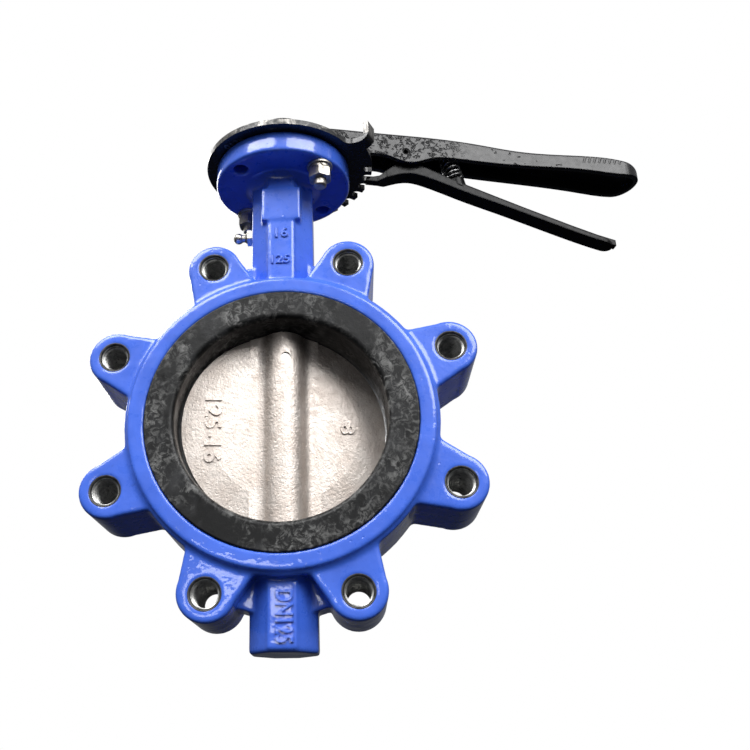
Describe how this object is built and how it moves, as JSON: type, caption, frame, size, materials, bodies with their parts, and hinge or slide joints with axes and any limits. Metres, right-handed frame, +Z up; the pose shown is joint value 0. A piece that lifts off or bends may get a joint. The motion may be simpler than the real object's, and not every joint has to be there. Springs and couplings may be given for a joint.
{
  "type": "butterfly valve",
  "caption": "Lug-type butterfly valve with a rubber-seated disc on a vertical stem, notch plate and a squeeze-lever handle.",
  "frame": {"origin": "crossing of the pipe axis and the stem axis, at the centre of the lug bolt circle and of the disc", "axes": "Y along the pipe, Z up along the stem towards the lever, +X the way the lever points when the valve is shut"},
  "size_m": [0.3521, 0.1093, 0.3445],
  "materials": {
    "blue_epoxy": "gloss epoxy over sand-cast ductile iron",
    "seat_rubber": "matt, chalky bloom",
    "seal_rubber": "smooth",
    "bearing_bronze": "machined",
    "nickel_plate": "bright plated",
    "black_paint_steel": "gloss black, sheared edges showing bare",
    "black_paint_iron": "gloss black over a rough casting",
    "zinc_steel": "zinc plated",
    "stem_steel": "ground stainless",
    "spring_steel": "oiled",
    "nickel_iron": "nickel plated over a fine sand-cast skin"
  },
  "bodies": {
    "body": {"valve_body": "blue_epoxy", "seat_liner": "seat_rubber", "upper_bushing": "bearing_bronze", "middle_bushing": "bearing_bronze", "lower_bushing": "bearing_bronze", "thrust_washer": "bearing_bronze", "grease_nipple": "nickel_plate", "notch_plate": "black_paint_steel", "plate_bolts": "zinc_steel", "plate_flat_washers": "zinc_steel", "plate_spring_washers": "zinc_steel", "plate_nuts": "zinc_steel"},
    "rotor": {"stem": "stem_steel", "disc": "nickel_iron", "taper_pin": "stem_steel", "stem_o_rings": "seal_rubber", "stem_circlip": "spring_steel", "lever_handle": "black_paint_iron", "handle_washer": "zinc_steel", "handle_screw": "zinc_steel", "pivot_pin": "spring_steel", "trigger_spring": "spring_steel"},
    "trigger": {"trigger_lever": "black_paint_iron"}
  },
  "joints": [
    {"name": "stem_turn", "type": "hinge", "parent": "body", "child": "rotor", "pos_m": [0, 0, 0], "axis": [0, 0, 1], "range_deg": [-10, 80]},
    {"name": "trigger_squeeze", "type": "hinge", "parent": "rotor", "child": "trigger", "pos_m": [0.07977, 0.01407, 0.1955], "axis": [0.1736, -0.9848, 0], "range_deg": [0, 13], "stiffness_Nm_per_rad": 1.3, "springref_deg": -17.19, "deforming": ["trigger_spring"]}
  ]
}
